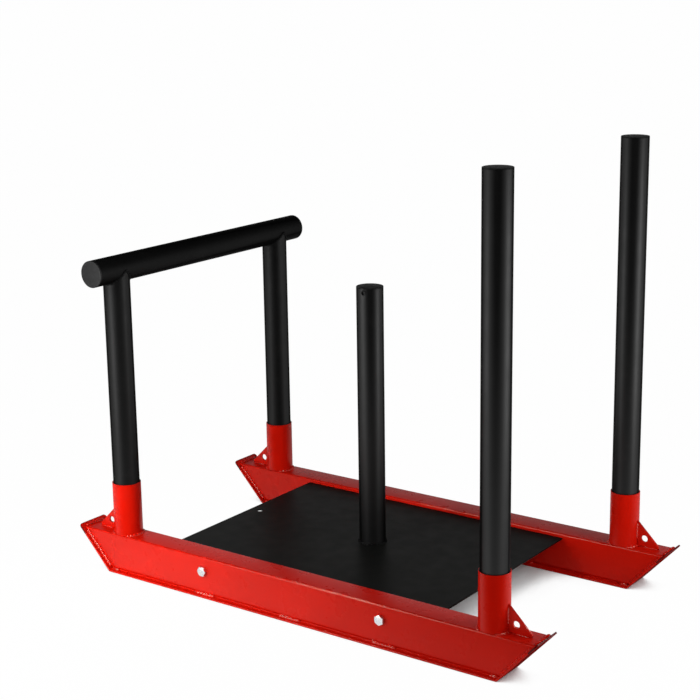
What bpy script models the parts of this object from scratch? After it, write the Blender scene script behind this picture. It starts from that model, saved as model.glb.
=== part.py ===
"""Weight sled for pushing and dragging, built piece by piece in metres, +Z up.

Two runners (a skid plate under a box beam) carry four round sockets. Two tall
push posts stand in the front sockets and a low push handle in the rear ones. A
steel deck lies on two cross members bolted between the beams, and a post for
weight plates stands on the deck.

+X is the front, +Y is the left-hand side, and the floor is at Z = 0. The origin
is on the floor in the middle of the sled.
"""

import math

import bmesh
import bpy
from mathutils import Matrix, Vector

MM = 0.001

# Clearances
SEAT_GAP = 0.3 * MM  # between two faces that touch on the real sled
SOCKET_CLEARANCE = 0.4 * MM  # around a tube in its socket, each side
PLUG_CLEARANCE = 0.3 * MM  # around a plug's skirt in its tube, each side
BOLT_CLEARANCE = 0.5 * MM  # around a bolt in its hole, each side
THREAD_CLEARANCE = 0.3 * MM  # around a bolt in its nut, each side
DECK_SIDE_GAP = 0.4 * MM  # between the deck's edge and a beam

# Layout
SOCKET_SPACING = 780 * MM  # rear sockets to front sockets
RUNNER_SPACING = 450 * MM  # middle of one beam to the middle of the other

# Runner beam, a box tube on edge
BEAM_HEIGHT = 69.7 * MM
BEAM_WIDTH = 50 * MM
BEAM_WALL = 2.5 * MM
BEAM_CORNER = 5 * MM

# Skid plate, a flat bar with both ends bent up
SKID_WIDTH = 67 * MM
SKID_THICKNESS = 3 * MM
SKID_BEND_REACH = 23.5 * MM  # from a socket's middle out to the bend
SKID_BEND_ANGLE = math.radians(47)
SKID_BEND_RADIUS = 2 * MM  # inside the bend
SKID_TIP_RISE = 77 * MM
SKID_TIP_CORNER = 6 * MM

# Round tube for the posts and the handle
TUBE_DIAMETER = 48 * MM
TUBE_WALL = 2 * MM
SOCKET_WALL = 1.6 * MM
SOCKET_HEIGHT = 97 * MM
SOCKET_RIM_CHAMFER = 0.5 * MM

# Posts and handle
TALL_POST_LENGTH = 722 * MM
MIDDLE_POST_LENGTH = 469 * MM
HANDLE_HEIGHT = 492 * MM  # the beam's top to the middle of the crossbar
CROSSBAR_LENGTH = 567 * MM
VENT_HOLE_DIAMETER = 6 * MM
VENT_HOLE_LIP = 3.5 * MM  # from the hole's edge up to the tube's end
VENT_HOLE_TURN = math.radians(8)  # round the post, from the right-hand side to the front

# Plug in an open tube end
PLUG_SIDE = 0.5 * MM  # the straight part of the head's rim
CROSSBAR_CAP_SIDE = 2.5 * MM  # the same on the handle's caps
PLUG_EDGE = 0.8 * MM  # the rounding above it
PLUG_DOME = 0.9 * MM  # the head's rise from there to its middle
PLUG_SKIRT = 16 * MM
PLUG_SKIRT_WALL = 2 * MM

# Gusset between a socket and the beam's end
GUSSET_HEIGHT = 46 * MM
GUSSET_LENGTH = 41.5 * MM
GUSSET_NOSE = 4.5 * MM
GUSSET_THICKNESS = 4 * MM
GUSSET_HOLE_DIAMETER = 12 * MM
GUSSET_HOLE_OUT = 14 * MM  # from the socket
GUSSET_HOLE_UP = 15 * MM  # from the beam

# Deck
DECK_THICKNESS = 3 * MM
DECK_DROP = 7 * MM  # below the beams' tops
DECK_FRONT_REACH = 280 * MM
DECK_REAR_REACH = 294 * MM
DECK_HOLE_DIAMETER = 11 * MM
DECK_HOLE_INSET = 21 * MM
DECK_HOLE_OFFSET = 13 * MM  # to the left of the middle

# Cross members under the deck
CROSSMEMBER_REACH = 190 * MM  # from the middle of the sled, to the front and to the rear
CROSSMEMBER_HEIGHT = 30 * MM
CROSSMEMBER_WIDTH = 40 * MM
CROSSMEMBER_WALL = 2 * MM
CROSSMEMBER_CORNER = 3 * MM
END_PLATE_WIDTH = 60 * MM
END_PLATE_THICKNESS = 4 * MM

# Bolts and nuts
BOLT_DIAMETER = 10 * MM
HEX_RATIO = 1.6  # across the flats of a head or nut, in bolt diameters
HEAD_RATIO = 0.64  # height of a head
NUT_RATIO = 0.84  # height of a nut
BOLT_TAIL = 3 * MM  # past the nut

# Fineness of the round shapes
TUBE_STEPS = 40
HOLE_STEPS = 20
CORNER_STEPS = 4
PLUG_STEPS = 2
EDGE_ROUNDING = 0.4 * MM
SMALLEST_CORNER = 0.5 * MM  # inside a box tube with a thick wall
SHARP_ANGLE = math.radians(35)  # edges at or over this stay sharp to the eye
ROUNDED_ANGLE = math.radians(50)  # edges over this are rounded
WELD_DISTANCE = 0.001 * MM  # points closer than this are one point

# Places worked out from the sizes above
BEAM_BOTTOM = SKID_THICKNESS + SEAT_GAP
BEAM_TOP = BEAM_BOTTOM + BEAM_HEIGHT
SKID_FLAT_LENGTH = SOCKET_SPACING + 2 * SKID_BEND_REACH
# The skid's lower faces meet at the end of the flat length, so the upper ones meet before it
SKID_INNER_CORNER = SKID_FLAT_LENGTH / 2 - SKID_THICKNESS * math.tan(SKID_BEND_ANGLE / 2)
SKID_BEND_START = SKID_INNER_CORNER - SKID_BEND_RADIUS * math.tan(SKID_BEND_ANGLE / 2)
SKID_BEND_END = SKID_BEND_START + SKID_BEND_RADIUS * SKID_BEND_ANGLE
TUBE_RADIUS = TUBE_DIAMETER / 2
SOCKET_INNER_RADIUS = TUBE_RADIUS + SOCKET_CLEARANCE
SOCKET_OUTER_RADIUS = SOCKET_INNER_RADIUS + SOCKET_WALL
DECK_TOP = BEAM_TOP - DECK_DROP
DECK_HALF_WIDTH = (RUNNER_SPACING - BEAM_WIDTH) / 2 - DECK_SIDE_GAP
CROSSMEMBER_TOP = DECK_TOP - DECK_THICKNESS - SEAT_GAP
BOLT_HEIGHT = CROSSMEMBER_TOP - CROSSMEMBER_HEIGHT / 2
BEAM_INNER_FACE = (RUNNER_SPACING - BEAM_WIDTH) / 2
BEAM_OUTER_FACE = (RUNNER_SPACING + BEAM_WIDTH) / 2
END_PLATE_OUTER_FACE = BEAM_INNER_FACE - SEAT_GAP
END_PLATE_INNER_FACE = END_PLATE_OUTER_FACE - END_PLATE_THICKNESS
HANDLE_BAR_HEIGHT = BEAM_TOP + HANDLE_HEIGHT
VENT_HOLE_DROP = VENT_HOLE_LIP + VENT_HOLE_DIAMETER / 2
HEX_CORNER_RADIUS = HEX_RATIO * BOLT_DIAMETER / 2 / math.cos(math.radians(30))
BOLT_HEAD_HEIGHT = HEAD_RATIO * BOLT_DIAMETER
NUT_HEIGHT = NUT_RATIO * BOLT_DIAMETER

SIDES = (("right", -1), ("left", 1))
ENDS = (("rear", -1), ("front", 1))
HEX_TURNS = {"rear": math.radians(30), "front": 0}  # flats level at the rear, corners at the front
UPRIGHT_PLANE = (math.radians(90), 0, 0)  # an outline drawn flat is stood up across Y
ALONG_X = (math.radians(90), 0, math.radians(90))  # an outline drawn flat is run along X


def clear_scene():
    """Starts from an empty scene."""
    for thing in list(bpy.data.objects):
        bpy.data.objects.remove(thing, do_unlink=True)


def new_collection(name):
    group = bpy.data.collections.new(name)
    bpy.context.scene.collection.children.link(group)
    return group


def make_material(name, colour, roughness, metallic=0.0, coat=0.0):
    """One Principled material; its colour is linear red, green and blue."""
    material = bpy.data.materials.new(name)
    material.use_nodes = True
    shader = material.node_tree.nodes["Principled BSDF"]
    shader.inputs["Base Color"].default_value = (*colour, 1.0)
    shader.inputs["Roughness"].default_value = roughness
    shader.inputs["Metallic"].default_value = metallic
    shader.inputs["Coat Weight"].default_value = coat
    material.diffuse_color = (*colour, 1.0)
    return material


def red_powder_coat():
    return make_material("red_powder_coat", (0.55, 0.010, 0.006), 0.32, coat=0.4)


def black_powder_coat():
    return make_material("black_powder_coat", (0.012, 0.012, 0.013), 0.42)


def black_deck_coat():
    return make_material("black_deck_coat", (0.010, 0.010, 0.010), 0.5)


def black_plastic():
    return make_material("black_plastic", (0.018, 0.018, 0.019), 0.5)


def zinc_plated_steel():
    return make_material("zinc_plated_steel", (0.72, 0.72, 0.70), 0.28, metallic=1.0)


def add_object(name, mesh, place=(0, 0, 0), turn=(0, 0, 0)):
    thing = bpy.data.objects.new(name, mesh)
    thing.location = place
    thing.rotation_euler = turn
    bpy.context.scene.collection.objects.link(thing)
    return thing


def finish(thing, material, collection, parent=None):
    """Gives a piece its material, its collection and the empty that carries it."""
    thing.data.materials.clear()
    thing.data.materials.append(material)
    for group in list(thing.users_collection):
        group.objects.unlink(thing)
    collection.objects.link(thing)
    if parent is not None:
        bpy.context.view_layer.update()
        place = thing.matrix_world.copy()
        thing.parent = parent
        thing.matrix_parent_inverse = parent.matrix_world.inverted()
        thing.matrix_world = place


def smooth(mesh):
    mesh.shade_smooth()
    mesh.set_sharp_from_angle(angle=SHARP_ANGLE)


def evaluated_mesh(thing):
    """The object's mesh with its modifiers applied."""
    bpy.context.view_layer.update()
    graph = bpy.context.evaluated_depsgraph_get()
    return bpy.data.meshes.new_from_object(thing.evaluated_get(graph))


def replace_by_mesh(thing):
    """Puts a plain mesh object in the place of a curve or of an object with modifiers."""
    mesh = evaluated_mesh(thing)
    form = bmesh.new()
    form.from_mesh(mesh)
    bmesh.ops.remove_doubles(form, verts=form.verts, dist=WELD_DISTANCE)
    bmesh.ops.recalc_face_normals(form, faces=form.faces)
    form.to_mesh(mesh)
    form.free()
    name = thing.name
    place = thing.matrix_world.copy()
    bpy.data.objects.remove(thing, do_unlink=True)
    solid = add_object(name, mesh)
    mesh.name = name
    solid.matrix_world = place
    smooth(mesh)
    return solid


def circle(radius, steps, centre=(0, 0)):
    """Points of a circle, anticlockwise."""
    turns = [2 * math.pi * i / steps for i in range(steps)]
    return [(centre[0] + radius * math.cos(a), centre[1] + radius * math.sin(a)) for a in turns]


def rounded_rectangle(width, height, radius):
    """Points of a rectangle with round corners about the origin, anticlockwise."""
    points = []
    for i, (sx, sy) in enumerate(((1, 1), (-1, 1), (-1, -1), (1, -1))):
        centre = (sx * (width / 2 - radius), sy * (height / 2 - radius))
        for step in range(CORNER_STEPS + 1):
            a = math.radians(90) * (i + step / CORNER_STEPS)
            points.append((centre[0] + radius * math.cos(a), centre[1] + radius * math.sin(a)))
    return points


def flat_solid(name, outlines, thickness, place, turn):
    """A solid of even thickness from closed outlines; inner outlines are holes."""
    curve = bpy.data.curves.new(name, "CURVE")
    curve.dimensions = "2D"
    curve.fill_mode = "BOTH"
    curve.extrude = thickness / 2
    for outline in outlines:
        spline = curve.splines.new("POLY")
        spline.points.add(len(outline) - 1)
        for point, (x, y) in zip(spline.points, outline):
            point.co = (x, y, 0, 1)
        spline.use_cyclic_u = True
    return replace_by_mesh(add_object(name, curve, place, turn))


def turned_solid(name, profile, place, turn=(0, 0, 0), closed=False):
    """A round solid from a profile of (radius, height) that runs down its outer side."""
    mesh = bpy.data.meshes.new(name)
    count = len(profile)
    edges = [(i, i + 1) for i in range(count - 1)]
    if closed:
        edges.append((count - 1, 0))
    mesh.from_pydata([(radius, 0, height) for radius, height in profile], edges, [])
    thing = add_object(name, mesh, place, turn)
    screw = thing.modifiers.new("turn", "SCREW")
    screw.axis = "Z"
    screw.steps = TUBE_STEPS
    screw.render_steps = TUBE_STEPS
    screw.use_merge_vertices = True
    screw.merge_threshold = WELD_DISTANCE
    return replace_by_mesh(thing)


def tube(name, outer, inner, length, place, turn=(0, 0, 0), rim=0.0):
    """A round tube that stands on its origin, with a small chamfer at its upper rim."""
    profile = [(outer, length - rim), (outer, 0), (inner, 0), (inner, length)]
    if rim:
        profile.append((outer - rim, length))
    return turned_solid(name, profile, place, turn, closed=True)


def box_tube(name, width, height, wall, corner, length, place, turn):
    outer = rounded_rectangle(width, height, corner)
    inner_corner = max(corner - wall, SMALLEST_CORNER)
    inner = rounded_rectangle(width - 2 * wall, height - 2 * wall, inner_corner)
    return flat_solid(name, (outer, inner), length, place, turn)


def cutter(thing, collection):
    """Marks an object as a cutter: it shapes other pieces and isn't one itself."""
    for group in list(thing.users_collection):
        group.objects.unlink(thing)
    collection.objects.link(thing)
    thing.hide_render = True
    thing.display_type = "WIRE"
    return thing


def cylinder(name, radius, length, place, turn, steps=HOLE_STEPS):
    """A solid round bar with its middle at its place."""
    form = bmesh.new()
    bmesh.ops.create_cone(
        form, cap_ends=True, segments=steps, radius1=radius, radius2=radius, depth=length
    )
    mesh = bpy.data.meshes.new(name)
    form.to_mesh(mesh)
    form.free()
    return add_object(name, mesh, place, turn)


def block(name, size, matrix):
    """A box of the given size, placed by a matrix."""
    form = bmesh.new()
    bmesh.ops.create_cube(form, size=1)
    bmesh.ops.scale(form, vec=size, verts=form.verts)
    mesh = bpy.data.meshes.new(name)
    form.to_mesh(mesh)
    form.free()
    thing = add_object(name, mesh)
    thing.matrix_world = matrix
    return thing


def combine(thing, other, operation):
    boolean = thing.modifiers.new(operation.lower(), "BOOLEAN")
    boolean.operation = operation
    boolean.solver = "EXACT"
    boolean.object = other


def round_edges(thing, width=EDGE_ROUNDING):
    bevel = thing.modifiers.new("soft edge", "BEVEL")
    bevel.width = width
    bevel.segments = 1
    bevel.limit_method = "ANGLE"
    bevel.angle_limit = ROUNDED_ANGLE


def skid_point(distance):
    """Where a point of the flat bar, so far from its middle, lies once the bar is bent.

    The bar's upper face is followed, which is the inner side of the bends. It returns
    X and Z.
    """
    sign = math.copysign(1, distance)
    reach = abs(distance)
    if reach <= SKID_BEND_START:
        return distance, SKID_THICKNESS
    if reach <= SKID_BEND_END:
        angle = (reach - SKID_BEND_START) / SKID_BEND_RADIUS
        x = SKID_BEND_START + SKID_BEND_RADIUS * math.sin(angle)
        return sign * x, SKID_THICKNESS + SKID_BEND_RADIUS * (1 - math.cos(angle))
    from_corner = reach - SKID_BEND_END + SKID_INNER_CORNER - SKID_BEND_START
    x = SKID_INNER_CORNER + from_corner * math.cos(SKID_BEND_ANGLE)
    return sign * x, SKID_THICKNESS + from_corner * math.sin(SKID_BEND_ANGLE)


def skid_half_length():
    """Half the length of the bar's upper face, measured along it.

    The tip's lower corner reaches the full rise, so its upper corner stands higher.
    """
    end_of_bend = skid_point(SKID_BEND_END)[1]
    rise = SKID_TIP_RISE + SKID_THICKNESS * math.cos(SKID_BEND_ANGLE) - end_of_bend
    return SKID_BEND_END + rise / math.sin(SKID_BEND_ANGLE)


def make_skid_plate(name, side):
    """The bar is drawn flat with round corners, bent, and given its thickness downwards."""
    half = skid_half_length()
    form = bmesh.new()
    bmesh.ops.create_grid(form, x_segments=1, y_segments=1, size=1)
    bmesh.ops.scale(form, vec=(half, SKID_WIDTH / 2, 1), verts=form.verts)
    corners = list(form.verts)
    bmesh.ops.bevel(
        form, geom=corners, offset=SKID_TIP_CORNER, segments=CORNER_STEPS, profile=0.5, affect="VERTICES"
    )
    for step in range(CORNER_STEPS + 1):
        line = SKID_BEND_START + (SKID_BEND_END - SKID_BEND_START) * step / CORNER_STEPS
        for end in (-1, 1):
            everything = form.verts[:] + form.edges[:] + form.faces[:]
            bmesh.ops.bisect_plane(form, geom=everything, plane_co=(end * line, 0, 0), plane_no=(1, 0, 0))
    for vert in form.verts:
        x, z = skid_point(vert.co.x)
        vert.co.x = x
        vert.co.z = z
    mesh = bpy.data.meshes.new(name)
    form.to_mesh(mesh)
    form.free()
    thing = add_object(name, mesh, (0, side * RUNNER_SPACING / 2, 0))
    shell = thing.modifiers.new("plate thickness", "SOLIDIFY")
    shell.thickness = SKID_THICKNESS
    shell.offset = -1
    shell.use_even_offset = True
    round_edges(thing)
    return replace_by_mesh(thing)


def beam_end_cutter(name, side, end, cutters):
    """A block whose face lies on the skid's upturned end, less the seat gap."""
    corner = Vector((end * SKID_INNER_CORNER, side * RUNNER_SPACING / 2, SKID_THICKNESS))
    size = 2 * BEAM_HEIGHT / math.sin(SKID_BEND_ANGLE)
    lean = Matrix.Rotation(-end * SKID_BEND_ANGLE, 4, "Y")
    drop = Vector((0, 0, -size / 2 + SEAT_GAP))
    place = Matrix.Translation(corner) @ lean @ Matrix.Translation(drop)
    return cutter(block(name, (2 * size, 2 * BEAM_WIDTH, size), place), cutters)


def make_runner_beam(name, side, cutters):
    y = side * RUNNER_SPACING / 2
    length = SKID_FLAT_LENGTH + 2 * BEAM_TOP / math.tan(SKID_BEND_ANGLE)
    middle = (0, y, BEAM_BOTTOM + BEAM_HEIGHT / 2)
    beam = box_tube(name, BEAM_WIDTH, BEAM_HEIGHT, BEAM_WALL, BEAM_CORNER, length, middle, ALONG_X)
    for end_name, end in ENDS:
        combine(beam, beam_end_cutter(f"{name}_{end_name}_cut", side, end, cutters), "DIFFERENCE")
        hole = cylinder(
            f"{name}_{end_name}_bolt_hole",
            BOLT_DIAMETER / 2 + BOLT_CLEARANCE,
            2 * BEAM_WIDTH,
            (end * CROSSMEMBER_REACH, y, BOLT_HEIGHT),
            UPRIGHT_PLANE,
        )
        combine(beam, cutter(hole, cutters), "DIFFERENCE")
    return replace_by_mesh(beam)


def make_socket(name, side, end):
    place = (end * SOCKET_SPACING / 2, side * RUNNER_SPACING / 2, BEAM_TOP + SEAT_GAP)
    height = SOCKET_HEIGHT - SEAT_GAP
    return tube(name, SOCKET_OUTER_RADIUS, SOCKET_INNER_RADIUS, height, place, rim=SOCKET_RIM_CHAMFER)


def make_gusset(name, side, end):
    """A triangle with a cut-off nose, its upright edge on the socket."""
    start = SOCKET_OUTER_RADIUS + SEAT_GAP
    outline = [
        (start, 0),
        (start + GUSSET_LENGTH, 0),
        (start + GUSSET_LENGTH, GUSSET_NOSE),
        (start, GUSSET_HEIGHT),
    ]
    hole = circle(GUSSET_HOLE_DIAMETER / 2, HOLE_STEPS, (start + GUSSET_HOLE_OUT, GUSSET_HOLE_UP))
    outlines = [[(end * x, z) for x, z in points] for points in (outline, hole)]
    place = (end * SOCKET_SPACING / 2, side * RUNNER_SPACING / 2, BEAM_TOP + SEAT_GAP)
    plate = flat_solid(name, outlines, GUSSET_THICKNESS, place, UPRIGHT_PLANE)
    round_edges(plate)
    return replace_by_mesh(plate)


def plug_profile(side):
    """A domed head that covers the tube's end, over a hollow skirt inside the tube."""
    skirt = TUBE_RADIUS - TUBE_WALL - PLUG_CLEARANCE
    inside = skirt - PLUG_SKIRT_WALL
    dome_radius = TUBE_RADIUS - PLUG_EDGE
    side_top = SEAT_GAP + side
    dome_foot = side_top + PLUG_EDGE
    dome = []
    for step in range(PLUG_STEPS):
        part = step / PLUG_STEPS
        dome.append((part * dome_radius, dome_foot + PLUG_DOME * (1 - part ** 2)))
    edge = []
    for step in range(PLUG_STEPS):
        a = math.radians(90) * step / PLUG_STEPS
        edge.append((dome_radius + PLUG_EDGE * math.sin(a), side_top + PLUG_EDGE * math.cos(a)))
    return dome + edge + [
        (TUBE_RADIUS, side_top),
        (TUBE_RADIUS, SEAT_GAP),
        (skirt, SEAT_GAP),
        (skirt, -PLUG_SKIRT),
        (inside, -PLUG_SKIRT),
        (inside, SEAT_GAP),
        (0, SEAT_GAP),
    ]


def make_plug(name, place, turn=(0, 0, 0), side=PLUG_SIDE):
    return turned_solid(name, plug_profile(side), place, turn)


def make_tall_post(name, side):
    place = (SOCKET_SPACING / 2, side * RUNNER_SPACING / 2, BEAM_TOP + SEAT_GAP)
    return tube(name, TUBE_RADIUS, TUBE_RADIUS - TUBE_WALL, TALL_POST_LENGTH, place)


def make_tall_post_plug(name, side):
    top = BEAM_TOP + SEAT_GAP + TALL_POST_LENGTH
    return make_plug(name, (SOCKET_SPACING / 2, side * RUNNER_SPACING / 2, top))


def make_middle_post(name, cutters):
    post = tube(
        name, TUBE_RADIUS, TUBE_RADIUS - TUBE_WALL, MIDDLE_POST_LENGTH, (0, 0, DECK_TOP + SEAT_GAP)
    )
    towards = (math.sin(VENT_HOLE_TURN) * TUBE_RADIUS, -math.cos(VENT_HOLE_TURN) * TUBE_RADIUS)
    hole = cylinder(
        f"{name}_vent_cut",
        VENT_HOLE_DIAMETER / 2,
        TUBE_DIAMETER,
        (*towards, DECK_TOP + SEAT_GAP + MIDDLE_POST_LENGTH - VENT_HOLE_DROP),
        (math.radians(90), 0, VENT_HOLE_TURN),
        steps=HOLE_STEPS // 2,
    )
    combine(post, cutter(hole, cutters), "DIFFERENCE")
    return replace_by_mesh(post)


def make_handle_upright(name, side, cutters):
    """A tube whose top is cut to sit round the crossbar."""
    x = -SOCKET_SPACING / 2
    y = side * RUNNER_SPACING / 2
    upright = tube(
        name,
        TUBE_RADIUS,
        TUBE_RADIUS - TUBE_WALL,
        HANDLE_HEIGHT - SEAT_GAP,
        (x, y, BEAM_TOP + SEAT_GAP),
    )
    saddle = cylinder(
        f"{name}_saddle_cut",
        TUBE_RADIUS + SEAT_GAP,
        2 * TUBE_DIAMETER,
        (x, y, HANDLE_BAR_HEIGHT),
        UPRIGHT_PLANE,
        steps=TUBE_STEPS,
    )
    combine(upright, cutter(saddle, cutters), "DIFFERENCE")
    return replace_by_mesh(upright)


def make_crossbar(name):
    place = (-SOCKET_SPACING / 2, CROSSBAR_LENGTH / 2, HANDLE_BAR_HEIGHT)
    return tube(name, TUBE_RADIUS, TUBE_RADIUS - TUBE_WALL, CROSSBAR_LENGTH, place, UPRIGHT_PLANE)


def make_crossbar_cap(name, side):
    place = (-SOCKET_SPACING / 2, side * CROSSBAR_LENGTH / 2, HANDLE_BAR_HEIGHT)
    return make_plug(name, place, (-side * math.radians(90), 0, 0), CROSSBAR_CAP_SIDE)


def make_deck(name):
    outline = [
        (-DECK_REAR_REACH, -DECK_HALF_WIDTH),
        (DECK_FRONT_REACH, -DECK_HALF_WIDTH),
        (DECK_FRONT_REACH, DECK_HALF_WIDTH),
        (-DECK_REAR_REACH, DECK_HALF_WIDTH),
    ]
    centre = (-DECK_REAR_REACH + DECK_HOLE_INSET, DECK_HOLE_OFFSET)
    hole = circle(DECK_HOLE_DIAMETER / 2, HOLE_STEPS, centre)
    place = (0, 0, DECK_TOP - DECK_THICKNESS / 2)
    deck = flat_solid(name, (outline, hole), DECK_THICKNESS, place, (0, 0, 0))
    round_edges(deck)
    return replace_by_mesh(deck)


def make_crossmember(name, end):
    length = 2 * (END_PLATE_INNER_FACE - SEAT_GAP)
    return box_tube(
        name,
        CROSSMEMBER_WIDTH,
        CROSSMEMBER_HEIGHT,
        CROSSMEMBER_WALL,
        CROSSMEMBER_CORNER,
        length,
        (end * CROSSMEMBER_REACH, 0, BOLT_HEIGHT),
        UPRIGHT_PLANE,
    )


def make_end_plate(name, side, end):
    outline = rounded_rectangle(END_PLATE_WIDTH, CROSSMEMBER_HEIGHT, CROSSMEMBER_CORNER)
    hole = circle(BOLT_DIAMETER / 2 + BOLT_CLEARANCE, HOLE_STEPS)
    y = side * (END_PLATE_OUTER_FACE - END_PLATE_THICKNESS / 2)
    place = (end * CROSSMEMBER_REACH, y, BOLT_HEIGHT)
    return flat_solid(name, (outline, hole), END_PLATE_THICKNESS, place, UPRIGHT_PLANE)


def make_bolt(name, side, end, hex_turn, cutters):
    """A hex head with a round shank, drawn upright with the head on top."""
    grip = BEAM_WIDTH + 2 * SEAT_GAP + END_PLATE_THICKNESS
    shank_length = grip + SEAT_GAP + NUT_HEIGHT + BOLT_TAIL
    y = side * (BEAM_OUTER_FACE + SEAT_GAP)
    place = (end * CROSSMEMBER_REACH, y, BOLT_HEIGHT)
    turn = (-side * math.radians(90), 0, 0)
    head = cylinder(name, HEX_CORNER_RADIUS, BOLT_HEAD_HEIGHT, place, turn, steps=6)
    head.data.transform(Matrix.Translation((0, 0, BOLT_HEAD_HEIGHT / 2)))
    head.data.transform(Matrix.Rotation(hex_turn, 4, "Z"))
    chamfer = cylinder(f"{name}_chamfer", HEX_CORNER_RADIUS, BOLT_HEAD_HEIGHT, place, turn)
    chamfer.data.transform(Matrix.Translation((0, 0, BOLT_HEAD_HEIGHT / 2)))
    round_edges(chamfer, width=HEX_CORNER_RADIUS * (1 - math.cos(math.radians(30))))
    combine(head, cutter(chamfer, cutters), "INTERSECT")
    overlap = BOLT_HEAD_HEIGHT / 2
    shank = cylinder(f"{name}_shank", BOLT_DIAMETER / 2, shank_length + overlap, place, turn)
    shank.data.transform(Matrix.Translation((0, 0, (overlap - shank_length) / 2)))
    combine(head, cutter(shank, cutters), "UNION")
    return replace_by_mesh(head)


def make_nut(name, side, end):
    bore = circle(BOLT_DIAMETER / 2 + THREAD_CLEARANCE, HOLE_STEPS)
    y = side * (END_PLATE_INNER_FACE - SEAT_GAP - NUT_HEIGHT / 2)
    place = (end * CROSSMEMBER_REACH, y, BOLT_HEIGHT)
    outline = circle(HEX_CORNER_RADIUS, 6)
    return flat_solid(name, (outline, bore), NUT_HEIGHT, place, UPRIGHT_PLANE)


def carrier(name, place, collection):
    """An empty on a moving piece's axis, which carries its solids."""
    empty = bpy.data.objects.new(name, None)
    empty.location = place
    empty.empty_display_size = TUBE_DIAMETER
    collection.objects.link(empty)
    bpy.context.view_layer.update()
    return empty


def build_runners(parts, cutters, red):
    for side_name, side in SIDES:
        finish(make_skid_plate(f"skid_plate_{side_name}", side), red, parts)
        finish(make_runner_beam(f"runner_beam_{side_name}", side, cutters), red, parts)
        for end_name, end in ENDS:
            corner = f"{end_name}_{side_name}"
            finish(make_socket(f"socket_{corner}", side, end), red, parts)
            finish(make_gusset(f"gusset_{corner}", side, end), red, parts)


def build_deck(parts, cutters, deck_coat, post_coat, plastic, zinc):
    finish(make_deck("deck_plate"), deck_coat, parts)
    finish(make_middle_post("middle_post", cutters), post_coat, parts)
    top = DECK_TOP + SEAT_GAP + MIDDLE_POST_LENGTH
    finish(make_plug("middle_post_plug", (0, 0, top)), plastic, parts)
    for end_name, end in ENDS:
        finish(make_crossmember(f"crossmember_{end_name}", end), deck_coat, parts)
        for side_name, side in SIDES:
            corner = f"{end_name}_{side_name}"
            finish(make_end_plate(f"end_plate_{corner}", side, end), deck_coat, parts)
            bolt = make_bolt(f"bolt_{corner}", side, end, HEX_TURNS[end_name], cutters)
            finish(bolt, zinc, parts)
            finish(make_nut(f"nut_{corner}", side, end), zinc, parts)


def build_tall_posts(parts, post_coat, plastic):
    for side_name, side in SIDES:
        place = (SOCKET_SPACING / 2, side * RUNNER_SPACING / 2, BEAM_TOP)
        axis = carrier(f"tall_post_{side_name}_axis", place, parts)
        finish(make_tall_post(f"tall_post_{side_name}", side), post_coat, parts, axis)
        finish(make_tall_post_plug(f"tall_post_plug_{side_name}", side), plastic, parts, axis)


def build_handle(parts, cutters, post_coat, plastic):
    axis = carrier("push_handle_axis", (-SOCKET_SPACING / 2, 0, BEAM_TOP), parts)
    finish(make_crossbar("handle_crossbar"), post_coat, parts, axis)
    for side_name, side in SIDES:
        upright = make_handle_upright(f"handle_upright_{side_name}", side, cutters)
        finish(upright, post_coat, parts, axis)
        finish(make_crossbar_cap(f"handle_cap_{side_name}", side), plastic, parts, axis)


def main():
    clear_scene()
    parts = new_collection("weight_sled")
    cutters = new_collection("cutters")
    post_coat = black_powder_coat()
    deck_coat = black_deck_coat()
    plastic = black_plastic()
    build_runners(parts, cutters, red_powder_coat())
    build_deck(parts, cutters, deck_coat, post_coat, plastic, zinc_plated_steel())
    build_tall_posts(parts, post_coat, plastic)
    build_handle(parts, cutters, post_coat, plastic)


main()
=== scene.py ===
"""A push and drag weight sled: its visible pieces, their finishes, and a small studio.

Lengths are in metres, +X is the sled's front, +Y its left-hand side, and the floor is at Z = 0.
Each piece is made where it stands, so a material's object coordinates are the sled's own.
"""

import math
import random

import bmesh
import bpy
from bpy.props import FloatProperty, FloatVectorProperty, IntProperty, PointerProperty
from mathutils import Matrix, Vector


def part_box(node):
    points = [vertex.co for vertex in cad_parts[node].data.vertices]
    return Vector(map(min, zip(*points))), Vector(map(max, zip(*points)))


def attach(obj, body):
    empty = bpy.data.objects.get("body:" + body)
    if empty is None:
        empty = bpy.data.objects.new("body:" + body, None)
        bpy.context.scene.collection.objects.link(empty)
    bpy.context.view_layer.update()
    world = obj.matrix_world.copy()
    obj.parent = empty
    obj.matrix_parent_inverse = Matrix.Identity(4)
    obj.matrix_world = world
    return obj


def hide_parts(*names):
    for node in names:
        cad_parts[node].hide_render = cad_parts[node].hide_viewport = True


bl_info = {
    "name": "Weight Sled",
    "version": (1, 0, 0),
    "blender": (4, 5, 0),
    "location": "View3D > Sidebar > Sled",
    "description": "Makes a weight sled's pieces with their finishes, and a studio for them",
    "category": "Object",
}

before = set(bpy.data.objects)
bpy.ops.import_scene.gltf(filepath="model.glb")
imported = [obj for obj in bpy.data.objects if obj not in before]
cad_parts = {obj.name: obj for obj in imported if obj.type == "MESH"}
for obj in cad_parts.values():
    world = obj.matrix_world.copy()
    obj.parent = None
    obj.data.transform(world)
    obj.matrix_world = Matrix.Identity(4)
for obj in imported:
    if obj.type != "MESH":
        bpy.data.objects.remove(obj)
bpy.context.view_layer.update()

SIDES = (("right", -1), ("left", 1))
ENDS = (("rear", -1), ("front", 1))
UP = Vector((0, 0, 1))
LYING = Matrix.Rotation(math.radians(90), 4, "X")
SEAT_GAP = 0.0003
SHARP_FROM = math.radians(32)


def corners():
    """The sled's four corners: each one's name, end and side."""
    for end_name, end in ENDS:
        for side_name, side in SIDES:
            yield f"{end_name}_{side_name}", end, side


def size_of(node):
    low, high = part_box(node)
    return high - low


def middle_of(node):
    low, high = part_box(node)
    return (low + high) / 2


def top_of(node):
    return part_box(node)[1].z


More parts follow.
